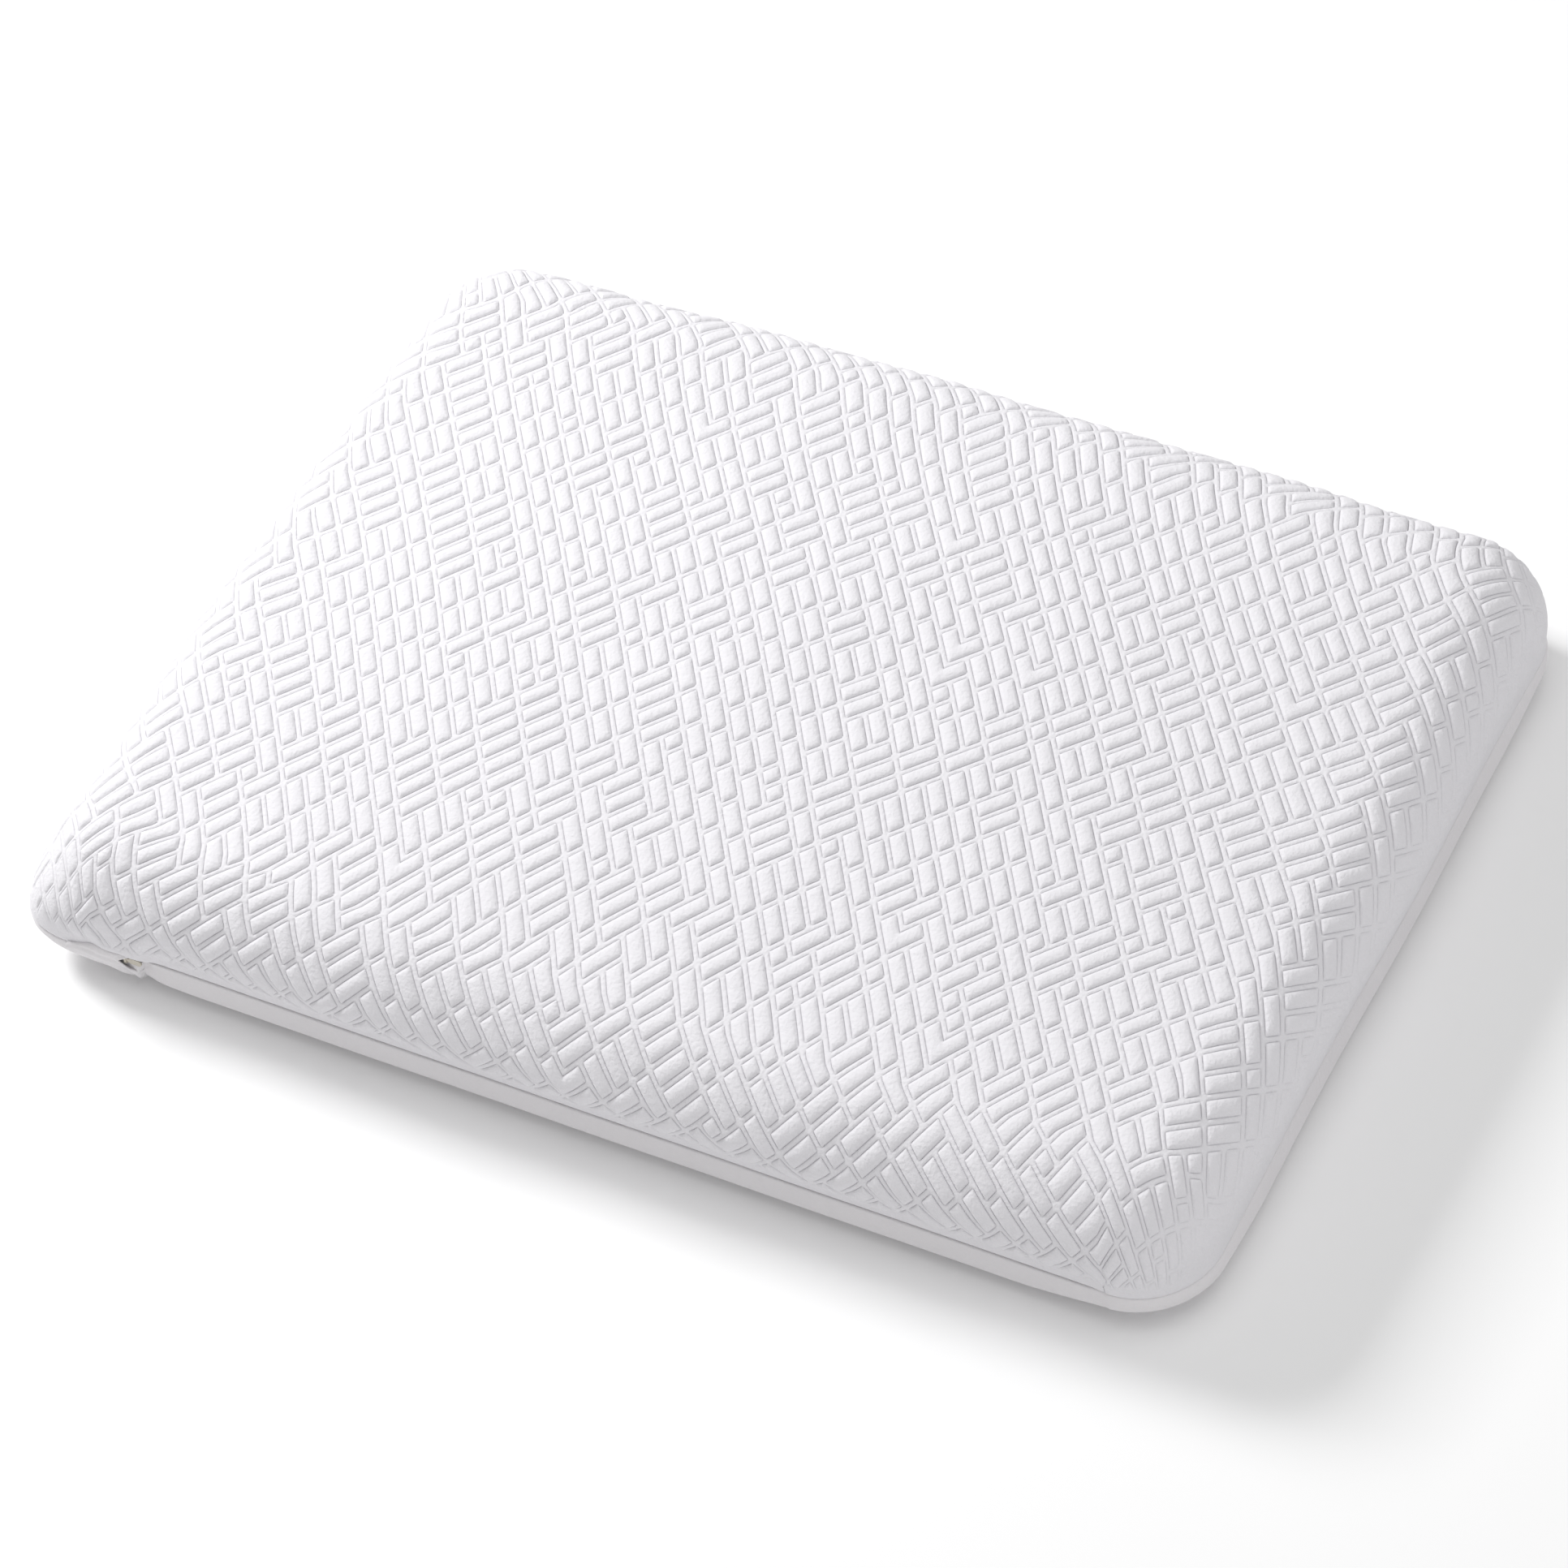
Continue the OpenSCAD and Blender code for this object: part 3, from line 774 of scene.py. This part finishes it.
def quilted_knit():
    n = Nodes("quilted_knit", (0.87, 0.87, 0.89), 0.9)
    sheen(n, 0.15)
    attribute = n.add("ShaderNodeAttribute", attribute_name="quilt")
    split = n.add("ShaderNodeSeparateXYZ")
    n.link(attribute.outputs["Vector"], split.inputs[0])
    stitch = split.outputs["Z"]
    turns = n.math("ADD", split.outputs["X"], split.outputs["Y"])
    beads = n.math("COSINE", n.math("MULTIPLY", turns, STITCHES * 2 * math.pi))
    line = n.math("MAXIMUM", n.ramp(stitch, -0.7, 1.0), 0)
    hole = n.math("MULTIPLY", line, n.ramp(n.math("MULTIPLY_ADD", beads, 0.5, 0.5), 0.35, 1.0))
    cloud = n.noise(14, 3)
    fibre = n.noise(1500, 2)
    tone = n.math("ADD", n.math("MULTIPLY", cloud, 0.6), n.math("MULTIPLY", fibre, 0.4))
    plain = n.tint(tone, (0.765, 0.753, 0.783), (0.82, 0.807, 0.835))
    # The stitch holes are darkened in the base colour: painted shade in the recesses along the stitch
    # line.
    stitch_painted_shade = n.add("ShaderNodeMix", data_type="RGBA", blend_type="MULTIPLY")
    stitch_painted_shade.inputs["B"].default_value = (0.66, 0.66, 0.68, 1)
    n.link(hole, stitch_painted_shade.inputs["Factor"])
    n.link(plain, stitch_painted_shade.inputs["A"])
    n.link(stitch_painted_shade.outputs["Result"], n.shader.inputs["Base Color"])
    n.link(n.ramp(fibre, 0.8, 0.98), n.shader.inputs["Roughness"])
    n.raise_by(n.math("SUBTRACT", 1, hole), 0.00030)
    n.raise_by(n.noise(520, 3), 0.0006, 0.9)
    n.raise_by(fibre, 0.00012, 0.9)
    return n.material


def plain_knit():
    n = Nodes("plain_knit", (0.85, 0.85, 0.87), 0.9)
    sheen(n, 0.15)
    cloud = n.noise(20, 3)
    fibre = n.noise(1400, 2)
    tone = n.math("ADD", n.math("MULTIPLY", cloud, 0.6), n.math("MULTIPLY", fibre, 0.4))
    n.link(n.tint(tone, (0.765, 0.745, 0.765), (0.825, 0.805, 0.82)), n.shader.inputs["Base Color"])
    n.link(n.ramp(fibre, 0.82, 0.98), n.shader.inputs["Roughness"])
    n.raise_by(n.noise(60, 3), 0.0006, 0.6)
    n.raise_by(n.noise(620, 3), 0.00045, 0.8)
    n.raise_by(fibre, 0.0001, 0.8)
    return n.material


def foam():
    n = Nodes("foam", (0.86, 0.82, 0.72), 0.95)
    cells = n.add("ShaderNodeTexVoronoi", Scale=1300)
    n.link(n.place(), cells.inputs["Vector"])
    cloud = n.noise(9, 4)
    n.link(n.tint(cloud, (0.80, 0.75, 0.62), (0.90, 0.87, 0.78)), n.shader.inputs["Base Color"])
    n.link(n.ramp(cells.outputs["Distance"], 0.98, 0.8), n.shader.inputs["Roughness"])
    n.raise_by(cells.outputs["Distance"], 0.0004, 0.8)
    n.raise_by(n.noise(150, 4), 0.0006, 0.5)
    n.shader.inputs["Subsurface Weight"].default_value = 0.08
    return n.material


def woven(name, light, dark, pitch, roughness, depth):
    """Threads crossing at a pitch: knitted liner, zip tape and sewing thread."""
    n = Nodes(name, light, roughness)
    sheen(n, 0.2)
    along = n.add("ShaderNodeTexWave", Scale=1 / pitch / 3, Distortion=1.2)
    across = n.add("ShaderNodeTexWave", Scale=1 / pitch / 3, Distortion=1.2)
    across.bands_direction = "Z"
    where = n.place()
    n.link(where, along.inputs["Vector"])
    n.link(where, across.inputs["Vector"])
    over = n.math("MAXIMUM", along.outputs["Fac"], across.outputs["Fac"])
    # The colour is darker where no thread rides over: painted shade in the gaps of the weave, with a
    # random patchy tone on top.
    n.link(n.tint(n.math("MULTIPLY", over, n.noise(30, 3)), dark, light), n.shader.inputs["Base Color"])
    n.link(n.ramp(n.noise(900, 2), roughness - 0.1, roughness + 0.1), n.shader.inputs["Roughness"])
    n.raise_by(over, depth, 0.9)
    n.raise_by(n.noise(1600, 2), depth / 2, 0.8)
    return n.material


def nylon():
    n = Nodes("coil_nylon", (0.88, 0.88, 0.90), 0.32)
    n.link(n.tint(n.noise(120, 2), (0.82, 0.82, 0.85), (0.92, 0.92, 0.93)), n.shader.inputs["Base Color"])
    n.link(n.ramp(n.noise(700, 2), 0.25, 0.42), n.shader.inputs["Roughness"])
    n.raise_by(n.noise(2500, 2), 0.00004, 0.5)
    n.shader.inputs["Subsurface Weight"].default_value = 0.1
    return n.material


def enamel():
    """Warm grey painted zinc, thin at its worn edges."""
    n = Nodes("zip_enamel", (0.52, 0.48, 0.41), 0.4)
    n.shader.inputs["Metallic"].default_value = 0.35
    n.shader.inputs["Coat Weight"].default_value = 0.25
    n.shader.inputs["Coat Roughness"].default_value = 0.2
    wear = n.noise(420, 4)
    n.link(n.tint(wear, (0.44, 0.40, 0.33), (0.62, 0.58, 0.50)), n.shader.inputs["Base Color"])
    n.link(n.ramp(wear, 0.3, 0.55), n.shader.inputs["Roughness"])
    n.raise_by(n.noise(1800, 3), 0.00003, 0.6)
    return n.material


# The yarn's white and the painted shade between its threads, for the woven materials.
WHITE, SHADE = (0.88, 0.87, 0.89), (0.76, 0.75, 0.78)
finish = {
    "quilted_knit": quilted_knit(),
    "plain_knit": plain_knit(),
    "foam": foam(),
    "liner_knit": woven("liner_tricot", WHITE, SHADE, 0.0009, 0.85, 0.00012),
    "zip_tape": woven("zip_tape_weave", WHITE, SHADE, 0.0006, 0.75, 0.0001),
    "thread": woven("sewing_thread", (0.86, 0.86, 0.88), (0.68, 0.68, 0.72), 0.0005, 0.6, 0.00012),
    "zip_coil": nylon(),
    "zip_metal": enamel(),
}
made = (
    (top_panel, "cover_top_panel", "quilted_knit"),
    (base_panel, "cover_base_panel", "plain_knit"),
    (garage, "zip_garage", "plain_knit"),
    (core, "foam_core", "foam"),
    (liner_top, "liner_top", "liner_knit"),
    (liner_base, "liner_base", "liner_knit"),
    (coils[0], "zip_coil_top", "zip_coil"),
    (coils[1], "zip_coil_base", "zip_coil"),
)
for piece, node, slot in made:
    piece.data.materials.append(finish[slot])
    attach(piece, "pillow")
    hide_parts(node)

kept = {
    "thread": ("liner_seam", "cover_seam", "tape_stitch_top", "tape_stitch_base", "bar_tacks"),
    "zip_tape": ("zip_tape_top", "zip_tape_base"),
    "zip_metal": ("top_stops", "bottom_stop", "zip_slider", "zip_pull"),
}
for slot, names in kept.items():
    for name in names:
        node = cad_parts[name]
        node.data.materials.clear()
        node.data.materials.append(finish[slot])
        if slot == "zip_metal":
            edge = node.modifiers.new("edges", "BEVEL")
            edge.width = 0.00015
            edge.segments = 2
            edge.limit_method = "ANGLE"


# Studio: floor, light and camera


# Half the floor's side
FLOOR = 6


def floor():
    corners = ((-1, -1, 0), (1, -1, 0), (1, 1, 0), (-1, 1, 0))
    points = np.array(corners, float) * FLOOR
    obj = mesh_object("studio_floor", points, [(0, 1, 2, 3)])
    n = Nodes("studio_floor", (0.96, 0.96, 0.96), 0.8)
    obj.data.materials.append(n.material)


def area_light(name, place, target, size, power):
    data = bpy.data.lights.new(name, "AREA")
    data.shape = "SQUARE"
    data.size, data.energy = size, power
    obj = bpy.data.objects.new(name, data)
    bpy.context.scene.collection.objects.link(obj)
    obj.location = place
    obj.rotation_euler = (Vector(target) - Vector(place)).to_track_quat("-Z", "Y").to_euler()


def camera(azimuth, elevation, roll, focal, distance, shift):
    """Looks at the pillow's middle from DISTANCE. FOCAL and SHIFT are in frame widths."""
    az, el = math.radians(azimuth), math.radians(elevation)
    back = Vector((math.sin(az) * math.cos(el), -math.cos(az) * math.cos(el), math.sin(el)))
    right = Vector((math.cos(az), math.sin(az), 0))
    up = back.cross(right)
    turn = math.radians(roll)
    right, up = (
        right * math.cos(turn) + up * math.sin(turn),
        up * math.cos(turn) - right * math.sin(turn),
    )
    data = bpy.data.cameras.new("camera")
    data.sensor_width, data.lens = 36, focal * 36
    data.shift_x, data.shift_y = shift
    obj = bpy.data.objects.new("camera", data)
    bpy.context.scene.collection.objects.link(obj)
    matrix = Matrix((right, up, back)).transposed().to_4x4()
    matrix.translation = Vector((0, 0, HEIGHT / 2)) + back * distance
    obj.matrix_world = matrix
    bpy.context.scene.camera = obj


floor()
area_light("key", (-1.86, 0.41, 1.58), (0, 0, 0.05), 0.8, 47)
area_light("fill", (2.0, -0.9, 1.1), (0, 0, 0.05), 2.5, 6)
area_light("top", (0.6, -0.2, 2.4), (0, 0, 0.05), 1.5, 14)
world = bpy.data.worlds.new("studio")
world.use_nodes = True
world.node_tree.nodes["Background"].inputs["Color"].default_value = (1, 1, 1, 1)
world.node_tree.nodes["Background"].inputs["Strength"].default_value = 0.42
bpy.context.scene.world = world
bpy.context.scene.view_settings.view_transform = "Standard"
camera(35.954, 49.146, -11.48, 6911 / 1932, 2.596, (-16.66 / 1932, -57.82 / 1932))
